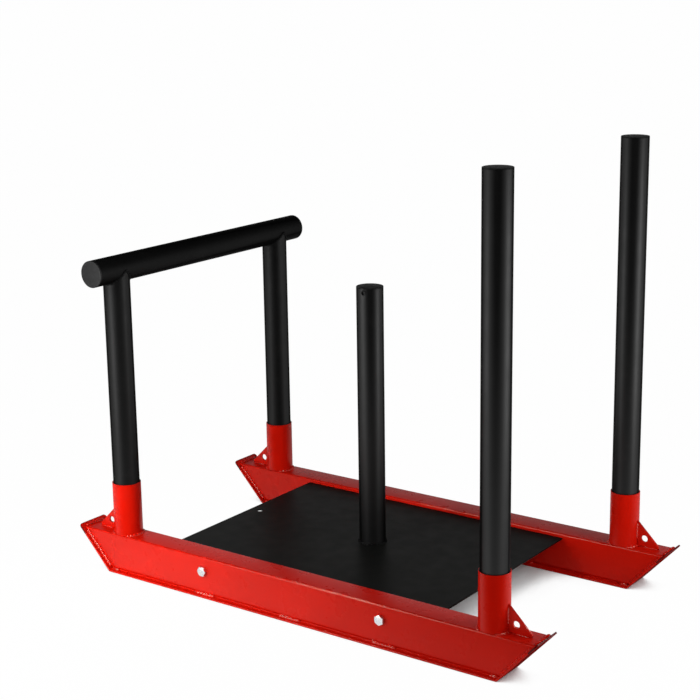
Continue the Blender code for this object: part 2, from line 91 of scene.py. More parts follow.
def foot_of(node):
    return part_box(node)[0].z


def foot_point(node):
    """The middle of a node's underside."""
    middle = middle_of(node)
    return Vector((middle.x, middle.y, foot_of(node)))


def metres(name, description, default):
    return FloatProperty(name=name, description=description, default=default, min=0, unit="LENGTH", precision=4)


def degrees(name, description, default):
    return FloatProperty(name=name, description=description, default=math.radians(default), subtype="ANGLE")


def watts(name, description, default):
    return FloatProperty(name=name, description=description, default=default, unit="POWER")


def coat_colour(name, description, default):
    return FloatVectorProperty(
        name=name, description=description, default=default, size=3, min=0, max=1, subtype="COLOR"
    )


class SledSizes(bpy.types.PropertyGroup):
    """Sizes of the details that the frame doesn't fix."""

    tube_wall: metres("Tube wall", "Wall of the posts and the handle", 0.002)
    socket_wall: metres("Socket wall", "Wall of the four sockets", 0.0016)
    beam_wall: metres("Beam wall", "Wall of the runner beams", 0.0025)
    beam_corner: metres("Beam corner", "Radius of the runner beams' upper corners", 0.0032)
    beam_root: metres("Beam root", "Radius of the runner beams' lower corners", 0.007)
    skid_thickness: metres("Skid thickness", "Thickness of the skid plates", 0.003)
    skid_bend: metres("Skid bend", "Radius inside the skid's bends", 0.002)
    skid_corner: metres("Skid corner", "Corner radius of the skid's tips", 0.006)
    skid_angle: degrees("Skid angle", "Turn of the skid's bends", 47)
    rim_round: metres("Rim rounding", "Rounding of tube ends", 0.0005)
    edge_round: metres("Edge rounding", "Rounding of plate edges", 0.0006)
    gusset_hole: metres("Gusset hole", "Diameter of the hole in a gusset", 0.012)
    gusset_nose: metres("Gusset nose", "Height of a gusset's short edge", 0.0045)
    deck_hole: metres("Deck hole", "Diameter of the hole in the deck", 0.011)
    vent_hole: metres("Vent hole", "Diameter of the hole below the middle post's top", 0.006)
    bolt_thread: metres("Bolt thread", "Diameter of the bolts' threads", 0.010)
    bead: metres("Weld bead", "Radius of a weld bead", 0.0038)
    bead_pitch: metres("Bead pitch", "Distance from one ripple of a weld to the next", 0.0066)
    turns: IntProperty(name="Turns", description="Facets round a tube", default=96, min=24)


class SledColours(bpy.types.PropertyGroup):
    """Colours of the finishes, linear."""

    red: coat_colour("Red coat", "Powder coat of the runners", (0.62, 0.0075, 0.0018))
    black: coat_colour("Black coat", "Powder coat of the posts and the handle", (0.0035, 0.0035, 0.0035))
    deck: coat_colour("Deck coat", "Powder coat of the deck", (0.007, 0.007, 0.0065))
    cap: coat_colour("Cap", "Moulded plugs and caps", (0.012, 0.012, 0.012))
    zinc: coat_colour("Zinc", "Plated bolts and nuts", (0.78, 0.77, 0.74))
    floor: coat_colour("Floor", "Studio floor", (0.88, 0.88, 0.88))


class SledStudio(bpy.types.PropertyGroup):
    """Camera, lamps, room and floor."""

    camera_place: FloatVectorProperty(
        name="Camera", description="Where the camera stands", default=(1.5894, -2.2531, 1.1097), unit="LENGTH"
    )
    camera_azimuth: degrees("Azimuth", "Turn of the camera round the sled", 35.95)
    camera_elevation: degrees("Elevation", "Tilt of the camera", 14.0)
    camera_roll: degrees("Roll", "Roll of the camera", -0.85)
    camera_lens: FloatProperty(name="Lens", description="Focal length in millimetres", default=82.98, min=1)
    left_lamp: watts("Left lamp", "Power of the left soft box", 2.1)
    low_lamp: watts("Low lamp", "Power of the low left box", 2.7)
    corner_lamp: watts("Corner lamp", "Power on the near corner", 0.3)
    edge_lamp: watts("Edge lamp", "Power of the strip overhead", 0.25)
    glint_lamp: watts("Glint lamp", "Power of the small right lamp", 0.16)
    back_lamp: watts("Back lamp", "Power of the small back lamp", 0.15)
    front_lamp: watts("Front lamp", "Power of the front fill", 2.0)
    right_lamp: watts("Right lamp", "Power of the right soft box", 3.0)
    room: FloatProperty(name="Room", description="Strength of the light from above", default=0.08, min=0)
    floor_white: FloatProperty(
        name="Floor white", description="How far the open floor is lifted to white", default=0.99, min=0, max=1
    )
    floor_shade: metres("Floor shade", "Reach of the shade under the sled", 0.2)


def sled_sizes():
    return bpy.context.scene.sled_sizes


# Shader nodes


def feed(node, inputs):
    """Fills a node's inputs: a number or colour is set, and a socket is linked."""
    for key, value in inputs.items():
        if isinstance(value, bpy.types.NodeSocket):
            node.id_data.links.new(value, node.inputs[key])
        else:
            node.inputs[key].default_value = value


def add_node(tree, kind, inputs=None, **settings):
    made = tree.nodes.new(kind)
    for key, value in settings.items():
        setattr(made, key, value)
    feed(made, inputs or {})
    return made


def reckon(operation, *values):
    """The result of a sum on one or two values, in the first one's tree."""
    inputs = dict(enumerate(values))
    return add_node(values[0].id_data, "ShaderNodeMath", inputs, operation=operation).outputs[0]


def noise(place, scale, detail, roughness=0.5):
    """Noise at so many cycles a metre."""
    inputs = {"Vector": place, "Scale": scale, "Detail": detail, "Roughness": roughness}
    return add_node(place.id_data, "ShaderNodeTexNoise", inputs).outputs["Fac"]


def spread(value, low, high, to_low, to_high):
    """Maps a value from one range to another, and holds it there."""
    inputs = {"Value": value, "From Min": low, "From Max": high, "To Min": to_low, "To Max": to_high}
    return add_node(value.id_data, "ShaderNodeMapRange", inputs, clamp=True).outputs["Result"]


def blend_colours(factor, first, second):
    """The first colour where the factor is 0, the second where it is 1."""
    inputs = {"Factor": factor, 6: first, 7: second}
    return add_node(factor.id_data, "ShaderNodeMix", inputs, data_type="RGBA").outputs[2]


def bump(height, strength, distance, under=None):
    """A normal tilted by a height, over another normal where one is given."""
    inputs = {"Height": height, "Strength": strength, "Distance": distance}
    if under is not None:
        inputs["Normal"] = under
    return add_node(height.id_data, "ShaderNodeBump", inputs).outputs[0]


def edge_mask(tree, width):
    """1 on sharp edges and 0 on flat faces."""
    soft = add_node(tree, "ShaderNodeBevel", {"Radius": width}, samples=4)
    plain = add_node(tree, "ShaderNodeNewGeometry")
    inputs = {0: soft.outputs["Normal"], 1: plain.outputs["Normal"]}
    same = add_node(tree, "ShaderNodeVectorMath", inputs, operation="DOT_PRODUCT")
    return spread(same.outputs["Value"], 0.75, 0.985, 1.0, 0.0)


def start_material(name):
    """A new material, its shader and the object's own coordinates."""
    material = bpy.data.materials.new(name)
    material.use_nodes = True
    shader = material.node_tree.nodes["Principled BSDF"]
    place = add_node(material.node_tree, "ShaderNodeTexCoord").outputs["Object"]
    return material, shader, place


def tint(colour, factor):
    """A colour made darker or lighter, with its alpha at 1."""
    return (*(min(1.0, channel * factor) for channel in colour[:3]), 1.0)


def angle_of_shine(shader, straight, aslant, glance, turns=(0.015, 0.16, 0.22, 0.55)):
    """A powder coat shines little straight on, most aslant, and hardly at all at a glance."""
    facing = add_node(shader.id_data, "ShaderNodeLayerWeight", {"Blend": 0.5}).outputs["Facing"]
    rise = spread(facing, turns[0], turns[1], straight, aslant)
    fall = spread(facing, turns[2], turns[3], 1.0, glance)
    feed(shader, {"Specular IOR Level": reckon("MULTIPLY", rise, fall)})


def part_of_normal(tree, axis):
    """How much a face looks along one axis of its own piece, from 0 to 1."""
    normal = add_node(tree, "ShaderNodeTexCoord").outputs["Normal"]
    return reckon("ABSOLUTE", add_node(tree, "ShaderNodeSeparateXYZ", {0: normal}).outputs[axis])


def shiny_lip(shader, rough, level):
    """Powder flows thin and glossy over a long edge; gives the roughness with that in it."""
    both = reckon("MULTIPLY", *(part_of_normal(shader.id_data, axis) for axis in "YZ"))
    lip = spread(both, 0.20, 0.42, 0.0, level)
    plain = shader.inputs["Specular IOR Level"].links[0].from_socket
    feed(shader, {"Specular IOR Level": reckon("MAXIMUM", plain, lip)})
    return reckon("MULTIPLY", rough, spread(both, 0.20, 0.42, 1.0, 0.45))


def scraped(place, base, amount):
    """The colour with the long scratches and rubbed patches of a face that slides on the floor."""
    along = add_node(place.id_data, "ShaderNodeMapping", {"Vector": place, "Scale": (0.04, 1, 0.04)})
    lines = spread(noise(along.outputs[0], 160, 5, 0.7), 0.46, 0.58, 0.0, 1.0)
    patches = spread(noise(place, 22, 4), 0.35, 0.65, 0.15, amount)
    return blend_colours(reckon("MULTIPLY", lines, patches), base, (0.03, 0.027, 0.026, 1))


def powder_coat(name, colour, gloss, peel, shine, lip=0.0, warmth=0.0, scrape=0.0, lacquer=0.0):
    """Baked powder: orange peel, a fine grain, uneven tone, thin edges and a trace of dust."""
    material, shader, place = start_material(name)
    feed(shader, {"IOR": 1.5, "Specular Tint": (1, 1 - 0.4 * warmth, 1 - 0.8 * warmth, 1)})
    if lacquer:
        feed(shader, {"Coat Weight": lacquer, "Coat Roughness": 0.06})
    angle_of_shine(shader, *shine)
    tone = spread(noise(place, 7, 5), 0.3, 0.7, 0.0, 1.0)
    base = blend_colours(tone, tint(colour, 0.92), tint(colour, 1.08))
    speck = spread(noise(place, 260, 3), 0.35, 0.65, 0.0, 0.06)
    base = blend_colours(speck, base, tint(colour, 1.6))
    rubbed = spread(noise(place, 55, 4), 0.42, 0.62, 0.0, 0.30)
    worn = reckon("MULTIPLY", edge_mask(shader.id_data, 0.0012), rubbed)
    base = blend_colours(worn, base, tint(colour, 0.55))
    dust = spread(noise(place, 18, 6, 0.65), 0.56, 0.80, 0.0, 0.02)
    base = blend_colours(dust, base, (0.20, 0.19, 0.18, 1))
    if scrape:
        base = scraped(place, base, scrape)
    rough = spread(noise(place, 34, 5), 0.3, 0.7, gloss - 0.03, gloss + 0.05)
    if lip:
        rough = shiny_lip(shader, rough, lip)
    waves = bump(noise(place, 420, 2), peel, 0.0003)
    grain = bump(noise(place, 1900, 2), peel * 0.5, 0.00006, waves)
    feed(shader, {"Base Color": base, "Roughness": rough, "Normal": grain})
    return material


def moulded_plastic(name, colour):
    """Polyethylene with a fine spark-eroded grain and faint handling marks."""
    material, shader, place = start_material(name)
    angle_of_shine(shader, 0.08, 0.24, 0.1)
    tone = spread(noise(place, 40, 4), 0.3, 0.7, 0.0, 1.0)
    base = blend_colours(tone, tint(colour, 0.85), tint(colour, 1.15))
    marks = spread(noise(place, 130, 6, 0.7), 0.58, 0.72, 0.0, 0.12)
    base = blend_colours(marks, base, (0.20, 0.20, 0.20, 1))
    rough = spread(noise(place, 90, 4), 0.3, 0.7, 0.42, 0.56)
    grain = bump(noise(place, 2400, 3), 0.35, 0.00008)
    feed(shader, {"Base Color": base, "Roughness": rough, "Normal": grain, "IOR": 1.5})
    return material


def plated_zinc(name, colour):
    """Bright zinc with faint blue and straw patches and fine rolling marks."""
    material, shader, place = start_material(name)
    tone = spread(noise(place, 240, 4), 0.35, 0.65, 0.0, 1.0)
    base = blend_colours(tone, (0.66, 0.70, 0.76, 1), tint(colour, 1))
    stain = spread(noise(place, 520, 5), 0.55, 0.75, 0.0, 0.25)
    base = blend_colours(stain, base, (0.42, 0.38, 0.30, 1))
    rough = spread(noise(place, 700, 4), 0.3, 0.7, 0.22, 0.40)
    marks = bump(noise(place, 1500, 3), 0.25, 0.00008)
    feed(shader, {"Base Color": base, "Roughness": rough, "Normal": marks, "Metallic": 1.0})
    return material


# Each powder coat: its colour and how dark it is, its roughness and orange peel, its shine
# straight on, aslant and at a glance, and what else it has
LATE = (0.12, 0.32, 0.40, 0.75)
WARM = {"warmth": 0.35}
COATS = {
    "sled_red": ("red", 1, 0.28, 0.12, (0.015, 0.17, 0.12, LATE), WARM),
    "sled_red_beam": ("red", 1, 0.28, 0.12, (0.015, 0.30, 0.25, LATE), {"lip": 0.6, **WARM}),
    "sled_red_skid": ("red", 1, 0.28, 0.12, (0.015, 0.30, 0.0, LATE), {"lip": 0.5, **WARM}),
    # A very dark copy of the red: painted shade on the skids' rims near their tips and on their end cuts
    "sled_red_cut": ("red", 0.17, 0.36, 0.30, (0.05, 0.20, 0.0, LATE), {}),
    # The skid's underside: scrape marks that are wear, on a red at half strength that is painted shade for a
    # face that looks down
    "sled_red_sole": ("red", 0.5, 0.40, 0.30, (0.05, 0.20, 0.0, LATE), {"scrape": 0.9}),
    "sled_red_bead": ("red", 1, 0.16, 0.08, (0.45, 0.6, 0.04), {"lacquer": 0.3, **WARM}),
    "sled_black": ("black", 1, 0.45, 0.20, (0.05, 0.38, 0.02), {}),
    "sled_upright": ("black", 1, 0.45, 0.20, (0.04, 0.24, 0.02), {}),
    "sled_grip": ("black", 1, 0.46, 0.22, (0.02, 0.10, 0.03), {}),
    "sled_deck": ("deck", 1, 0.44, 0.28, (0.05, 0.3, 0.12), {}),
}


def finish(name):
    """The finish of that name, made when it is first asked for."""
    if name in bpy.data.materials:
        return bpy.data.materials[name]
    colours = bpy.context.scene.sled_colours
    if name == "sled_cap":
        return moulded_plastic(name, colours.cap)
    if name == "sled_zinc":
        return plated_zinc(name, colours.zinc)
    colour, shade, gloss, peel, shine, extras = COATS[name]
    return powder_coat(name, tint(getattr(colours, colour), shade), gloss, peel, shine, **extras)


# Shapes


def smooth_mesh(form, name):
    """A mesh from a bmesh, smooth all over."""
    mesh = bpy.data.meshes.new(name)
    form.to_mesh(mesh)
    form.free()
    mesh.shade_smooth()
    return mesh


def mesh_from(form, name):
    """A mesh from a bmesh, with its faces turned out and its round faces smooth."""
    bmesh.ops.remove_doubles(form, verts=form.verts, dist=1e-6)
    bmesh.ops.recalc_face_normals(form, faces=form.faces)
    mesh = smooth_mesh(form, name)
    mesh.set_sharp_from_angle(angle=SHARP_FROM)
    return mesh


def shown_mesh(item):
    """A mesh of an object as it is shown."""
    bpy.context.view_layer.update()
    return bpy.data.meshes.new_from_object(item.evaluated_get(bpy.context.evaluated_depsgraph_get()))


def add_object(name, data):
    item = bpy.data.objects.new(name, data)
    bpy.context.scene.collection.objects.link(item)
    return item


def add_piece(mesh, coat, nodes=(), body="sled_frame"):
    """Makes a mesh a piece of its name, with its finish, that rides on its body."""
    piece = add_object(mesh.name, mesh)
    piece.data.materials.append(finish(coat))
    if nodes:
        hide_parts(*nodes)
    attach(piece, body)
    return piece


def dress(node, mesh, coat, place, turn=Matrix(), body="sled_frame"):
    """Turns and places a mesh, and makes it the piece that stands for a node."""
    mesh.transform(Matrix.Translation(place) @ turn)
    return add_piece(mesh, coat, (node,), body)


def join_loops(form, first, second):
    """Faces between two closed rows of as many points."""
    for step in range(len(first)):
        after = (step + 1) % len(first)
        form.faces.new((first[step], first[after], second[after], second[step]))


def turned(profile, turns, loop=False):
    """A form turned about Z from (radius, height) points; each may be a function of the angle."""
    form = bmesh.new()
    rings = []
    for radius, height in profile:
        if radius == 0:
            rings.append([form.verts.new((0, 0, height))])
            continue
        ring = []
        for step in range(turns):
            a = 2 * math.pi * step / turns
            r = radius(a) if callable(radius) else radius
            z = height(a) if callable(height) else height
            ring.append(form.verts.new((r * math.cos(a), r * math.sin(a), z)))
        rings.append(ring)
    pairs = list(zip(rings, rings[1:]))
    if loop:
        pairs.append((rings[-1], rings[0]))
    for first, second in pairs:
        for step in range(turns):
            after = (step + 1) % turns
            around = [first[step % len(first)], first[after % len(first)]]
            around += [second[after % len(second)], second[step % len(second)]]
            form.faces.new(list(dict.fromkeys(around)))
    return form


def arc(centre, radius, start, end, steps):
    """Points of an arc in degrees, about a centre."""
    points = []
    for step in range(steps + 1):
        a = math.radians(start + (end - start) * step / steps)
        points.append((centre[0] + radius * math.cos(a), centre[1] + radius * math.sin(a)))
    return points


def ring_points(radius, centre):
    steps = 40
    return arc(centre, radius, 0, 360 - 360 / steps, steps - 1)


def tube_profile(outer, wall, length, rim):
    """The section of a tube with rounded rims, run once round."""
    inner = outer - wall
    return (
        arc((outer - rim, length - rim), rim, 90, 0, 4)
        + arc((outer - rim, rim), rim, 0, -90, 4)
        + arc((inner + rim, rim), rim, -90, -180, 4)
        + arc((inner + rim, length - rim), rim, 180, 90, 4)
    )


def rounded_box(width, height, upper, lower):
    """Outline of a rectangle about the origin, with round corners above and below."""
    points = []
    for sx, sy, start in ((1, 1, 0), (-1, 1, 90), (-1, -1, 180), (1, -1, 270)):
        corner = upper if sy > 0 else lower
        centre = (sx * (width / 2 - corner), sy * (height / 2 - corner))
        points += arc(centre, corner, start, start + 90, 8)
    return points


def plate_mesh(name, outlines, thickness, edge):
    """A flat plate in XY from closed outlines, its edges rounded; inner outlines are holes."""
    curve = bpy.data.curves.new(name, "CURVE")
    curve.dimensions = "2D"
    curve.fill_mode = "BOTH"
    curve.extrude = thickness / 2 - edge
    curve.bevel_depth = edge
    curve.bevel_resolution = 2
    curve.offset = -edge
    for outline in outlines:
        spline = curve.splines.new("POLY")
        spline.points.add(len(outline) - 1)
        for point, (x, y) in zip(spline.points, outline):
            point.co = (x, y, 0, 1)
        spline.use_cyclic_u = True
    holder = add_object(name, curve)
    form = bmesh.new()
    rough = shown_mesh(holder)
    form.from_mesh(rough)
    bpy.data.objects.remove(holder, do_unlink=True)
    bpy.data.curves.remove(curve)
    bpy.data.meshes.remove(rough)
    return mesh_from(form, name)


def weld(name, path, outward, seed, coat="sled_red_bead", body="sled_frame", radius=None, closed=False):
    """A rippled bead along a path; outward is where it faces, all along or at each point."""
    if isinstance(outward, Vector):
        outward = [outward.normalized()] * len(path)
    facets = 10
    per_ripple = 6
    sizes = sled_sizes()
    radius = radius or sizes.bead
    chance = random.Random(seed)
    lengths = [0.0]
    for first, second in zip(path, path[1:] + (path[:1] if closed else [])):
        lengths.append(lengths[-1] + (second - first).length)
    total = lengths[-1]
    ripples = max(2, round(total / sizes.bead_pitch))
    samples = ripples * per_ripple
    blob = [(1 + chance.uniform(-0.10, 0.10), chance.uniform(-0.10, 0.10)) for _ in range(ripples + 1)]
    form = bmesh.new()
    rings = []
    for step in range(samples + (0 if closed else 1)):
        place, tangent, out = at_length(path, outward, lengths, total * step / samples)
        number, part = divmod(step, per_ripple)
        swell, shift = blob[number % ripples if closed else min(number, ripples)]
        # Each ripple swells fast and falls slowly, as a puddle freezes behind the arc
        hump = math.sin(math.pi * ((part + 0.5) / per_ripple) ** 0.75)
        r = radius * (0.68 + 0.32 * hump) * swell
        if not closed:
            nearest = min(step, samples - step) / per_ripple
            r *= 0.45 + 0.55 * math.sqrt(min(1.0, nearest))
        across = out.cross(tangent).normalized()
        centre = place + across * shift * radius * 0.6
        ring = []
        for facet in range(facets):
            a = 2 * math.pi * facet / facets
            depth = 0.86 if math.sin(a) > 0 else 0.25
            offset = across * math.cos(a) * r * 1.12 + out * math.sin(a) * r * depth
            ring.append(form.verts.new(centre + offset))
        rings.append(ring)
    for first, second in zip(rings, rings[1:] + (rings[:1] if closed else [])):
        join_loops(form, first, second)
    if not closed:
        form.faces.new(rings[0])
        form.faces.new(rings[-1])
    bmesh.ops.recalc_face_normals(form, faces=form.faces)
    add_piece(smooth_mesh(form, name), coat, body=body)


def at_length(path, outward, lengths, along):
    """Place, direction and outward direction at a length along a path."""
    for index in range(len(lengths) - 1):
        if along <= lengths[index + 1]:
            break
    after = (index + 1) % len(path)
    gap = lengths[index + 1] - lengths[index]
    part = (along - lengths[index]) / gap if gap else 0.0
    out = outward[index].lerp(outward[after], part).normalized()
    return path[index].lerp(path[after], part), (path[after] - path[index]).normalized(), out


def level_ring(centre, radius, start, end, steps):
    """A path round an upright tube between two angles, and its directions out and up."""
    path = []
    out = []
    for x, y in arc((0, 0), 1, start, end, steps):
        flat = Vector((x, y, 0))
        path.append(centre + flat * radius)
        out.append((flat + UP).normalized())
    return path, out


# Pieces


def skid_section():
    """The skid's upper face from its middle out: the bend's corner, the tip and the bend's angle."""
    sizes = sled_sizes()
    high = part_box("skid_plate_right")[1]
    angle = sizes.skid_angle
    tip = Vector((high.x - sizes.skid_thickness * math.sin(angle), high.z))
    corner_x = tip.x - (tip.y - sizes.skid_thickness) / math.tan(angle)
    return Vector((corner_x, sizes.skid_thickness)), tip, angle


def cut_across(form, reach):
    """Divides a flat form by two lines across it, so far to the front and to the rear."""
    for _, end in ENDS:
        every = form.verts[:] + form.edges[:] + form.faces[:]
        bmesh.ops.bisect_plane(form, geom=every, plane_co=(end * reach, 0, 0), plane_no=(1, 0, 0))


def flat_bar(corner, tip, angle, width, name):
    """A skid's upper face: divided and marked while flat, then bent up at both ends."""
    steps = 8
    shaded_tip = 0.022
    cut_edge = 0.0008
    sizes = sled_sizes()
    bend = sizes.skid_bend
    start = corner.x - bend * math.tan(angle / 2)
    length = start + bend * angle + (tip - corner).length - bend * math.tan(angle / 2)
    form = bmesh.new()
    bmesh.ops.create_grid(form, x_segments=1, y_segments=1, size=1)
    bmesh.ops.scale(form, vec=(length, width / 2, 1), verts=form.verts)
    round_by = sizes.skid_corner
    bmesh.ops.bevel(form, geom=form.verts[:], offset=round_by, segments=6, profile=0.5, affect="VERTICES")
    for step in range(steps + 1):
        cut_across(form, start + bend * angle * step / steps)
    # Faces within this reach of each end, and again within the end cut, step up one finish; the rims there and
    # the end cuts get the very dark red of painted shade
    for margin in (shaded_tip, cut_edge):
        cut_across(form, length - margin)
        for face in form.faces:
            if abs(face.calc_center_median().x) > length - margin:
                face.material_index += 1
    for vert in form.verts:
        reach = abs(vert.co.x)
        turn = min(max(0.0, (reach - start) / bend), angle)
        rest = max(0.0, reach - start - bend * angle)
        x = min(reach, start) + bend * math.sin(turn) + rest * math.cos(angle)
        z = sizes.skid_thickness + bend * (1 - math.cos(turn)) + rest * math.sin(angle)
        vert.co = (math.copysign(x, vert.co.x), vert.co.y, z)
    return smooth_mesh(form, name)


class SLED_OT_skid_plates(bpy.types.Operator):
    """Two flat bars under the runners, bent up at both ends"""

    bl_idname = "sled.skid_plates"
    bl_label = "Skid plates"

    def execute(self, context):
        sizes = sled_sizes()
        for side_name, _ in SIDES:
            node = f"skid_plate_{side_name}"
            mesh = flat_bar(*skid_section(), size_of(node).y, f"{node}_bar")
            plate = dress(node, mesh, "sled_red_skid", (0, middle_of(node).y, 0))
            # The skid's finishes by index: the plate, the painted-shade rims near the tips and end cuts, and
            # the underside with its painted shade and scrapes
            for coat in ("sled_red_skid", "sled_red_cut", "sled_red_cut", "sled_red_sole"):
                plate.data.materials.append(finish(coat))
            shell = plate.modifiers.new("thickness", "SOLIDIFY")
            shell.material_offset = 4
            shell.material_offset_rim = 1
            shell.thickness = sizes.skid_thickness
            shell.offset = -1
            shell.use_even_offset = True
            soft = plate.modifiers.new("edges", "BEVEL")
            soft.width = sizes.edge_round
            soft.segments = 3
            soft.limit_method = "ANGLE"
            soft.angle_limit = math.radians(60)
            plate.modifiers.new("shading", "WEIGHTED_NORMAL")
        return {"FINISHED"}


def add_paint_seam(name, beam, face, corner):
    """Powder that fills the crease between a beam's round lower edge and the skid."""
    centre = middle_of(beam).y
    half = size_of(beam).y / 2
    steps = 6
    width = 0.0012
    height = 0.0008
    radius = sled_sizes().beam_root
    ease = math.radians(45)
    upper = Vector((half - radius + radius * math.cos(ease), corner.y + radius - radius * math.sin(ease)))
    lower = Vector((upper.x + width, corner.y))
    pull = Vector((upper.x + 0.0002, lower.y + height))
    section = []
    for step in range(steps + 1):
        part = step / steps
        section.append(upper.lerp(pull, part).lerp(pull.lerp(lower, part), part))
    section += [Vector((half - radius, corner.y)), Vector((half - radius, corner.y + height))]
    form = bmesh.new()
    reach = corner.x - 0.004
    rows = []
    for x in (-reach, reach):
        rows.append([form.verts.new((x, centre + face * point.x, point.y)) for point in section])
    join_loops(form, *rows)
    for row in rows:
        form.faces.new(row)
    add_piece(mesh_from(form, name), "sled_red")


def box_beam(node, corner, angle):
    """A box tube with round edges, its two ends cut to the skid's slope."""
    sizes = sled_sizes()
    wall = sizes.beam_wall
    upper = sizes.beam_corner
    lower = sizes.beam_root
    size = size_of(node)
    middle = middle_of(node)
    gap = foot_of(node) - sizes.skid_thickness
    outer = rounded_box(size.y, size.z, upper, lower)
    inner = rounded_box(size.y - 2 * wall, size.z - 2 * wall, upper - wall, lower - wall)
    form = bmesh.new()
    loops = []
    for outline in (outer, inner):
        for _, end in ENDS:
            loop = []
            for y, z in outline:
                height = middle.z + z
                x = corner.x + (height - corner.y - gap / math.cos(angle)) / math.tan(angle)
                loop.append(form.verts.new((end * x, middle.y + y, height)))
            loops.append(loop)
    for first, second in ((0, 1), (2, 3), (0, 2), (1, 3)):
        join_loops(form, loops[first], loops[second])
    return mesh_from(form, f"{node}_tube")


class SLED_OT_runner_beams(bpy.types.Operator):
    """Two box beams on edge, their ends cut to the skid's slope"""

    bl_idname = "sled.runner_beams"
    bl_label = "Runner beams"

    def execute(self, context):
        corner, _, angle = skid_section()
        for side_name, _ in SIDES:
            node = f"runner_beam_{side_name}"
            add_piece(box_beam(node, corner, angle), "sled_red_beam", (node,))
            for label, face in SIDES:
                add_paint_seam(f"seam_{side_name}_{label}", node, face, corner)
        return {"FINISHED"}


def add_tube(node, coat, body, radius, wall, length, place, turn=Matrix()):
    """A tube with rounded rims, that stands on its place or lies as it is turned."""
    sizes = sled_sizes()
    profile = tube_profile(radius, wall, length, sizes.rim_round)
    mesh = mesh_from(turned(profile, sizes.turns, loop=True), f"{node}_tube")
    return dress(node, mesh, coat, place, turn, body)


class SLED_OT_sockets(bpy.types.Operator):
    """Four short tubes that hold the posts and the handle"""

    bl_idname = "sled.sockets"
    bl_label = "Sockets"

    def execute(self, context):
        wall = sled_sizes().socket_wall
        for corner, _, _ in corners():
            node = f"socket_{corner}"
            size = size_of(node)
            add_tube(node, "sled_red", "sled_frame", size.x / 2, wall, size.z, foot_point(node))
        return {"FINISHED"}


class SLED_OT_gussets(bpy.types.Operator):
    """Four drilled triangles between the sockets and the beams' ends"""

    bl_idname = "sled.gussets"
    bl_label = "Gussets"

    def execute(self, context):
        hole_place = (0.014, 0.015)
        sizes = sled_sizes()
        for corner, end, _ in corners():
            node = f"gusset_{corner}"
            low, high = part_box(node)
            size = high - low
            inner, _ = (low.x, high.x)[::end]
            outline = [(0, 0), (size.x, 0), (size.x, sizes.gusset_nose), (0, size.z + SEAT_GAP)]
            hole = ring_points(sizes.gusset_hole / 2, hole_place)
            outlines = [[(end * x, y) for x, y in points] for points in (outline, hole)]
            mesh = plate_mesh(f"{node}_plate", outlines, size.y, sizes.edge_round)
            place = (inner, middle_of(node).y, low.z)
            plate = dress(node, mesh, "sled_red_beam", place, LYING)
            plate.modifiers.new("shading", "WEIGHTED_NORMAL")
        return {"FINISHED"}


class SLED_OT_deck(bpy.types.Operator):
    """The deck plate between the runners, with its small hole"""

    bl_idname = "sled.deck"
    bl_label = "Deck"

    def execute(self, context):
        hole_inset = 0.021
        hole_aside = 0.013
        sizes = sled_sizes()
        low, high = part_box("deck_plate")
        outline = [(low.x, low.y), (high.x, low.y), (high.x, high.y), (low.x, high.y)]
        hole = ring_points(sizes.deck_hole / 2, (low.x + hole_inset, hole_aside))
        mesh = plate_mesh("deck_plate_sheet", (outline, hole), high.z - low.z, sizes.edge_round)
        sheet = dress("deck_plate", mesh, "sled_deck", (0, 0, (low.z + high.z) / 2))
        sheet.modifiers.new("shading", "WEIGHTED_NORMAL")
        return {"FINISHED"}


class SLED_OT_underframe(bpy.types.Operator):
    """Coats the cross members and their end plates, which keep the frame's shapes"""

    bl_idname = "sled.underframe"
    bl_label = "Underframe"

    def execute(self, context):
        for name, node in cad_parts.items():
            if name.startswith(("crossmember", "end_plate")):
                node.material_slots[0].material = finish("sled_deck")
        return {"FINISHED"}


def add_plug(node, body, radius, head, skirt, place, turn=Matrix()):
    """A cap with a low dome and a rounded rim, over a ribbed skirt that sits in the tube."""
    sizes = sled_sizes()
    edge = 0.0008
    dome = 0.0009
    groove = 0.0008
    skirt_wall = 0.0022
    top = head - dome
    profile = [(0, head)]
    reach = radius - edge
    for step in range(1, 9):
        part = step / 8
        profile.append((reach * part, top + dome * (1 - part * part)))
    profile += arc((reach, top - edge), edge, 90, 0, 5)[1:]
    grip = radius - sizes.tube_wall - SEAT_GAP
    profile += [(radius, SEAT_GAP), (grip, SEAT_GAP)]
    for rib in range(3):
        z = -skirt * (0.15 + 0.28 * rib)
        for depth, drop in ((groove, 0), (0, 0.0010), (0, 0.0020), (groove, 0.0028)):
            profile.append((grip - depth, z - drop))
    hollow = grip - skirt_wall
    profile += [(grip - groove, -skirt), (hollow, -skirt), (hollow, SEAT_GAP), (0, SEAT_GAP)]
    mesh = mesh_from(turned(profile, sizes.turns), f"{node}_moulding")
    dress(node, mesh, "sled_cap", place, turn, body)


def add_post(node, plug, body):
    """A plain post with its plug on top."""
    wall = sled_sizes().tube_wall
    size = size_of(node)
    foot = foot_point(node)
    post = add_tube(node, "sled_black", body, size.x / 2, wall, size.z, foot)
    top = Vector((foot.x, foot.y, top_of(node)))
    add_plug(plug, body, size.x / 2, top_of(plug) - top.z, top.z - foot_of(plug), top)
    return post


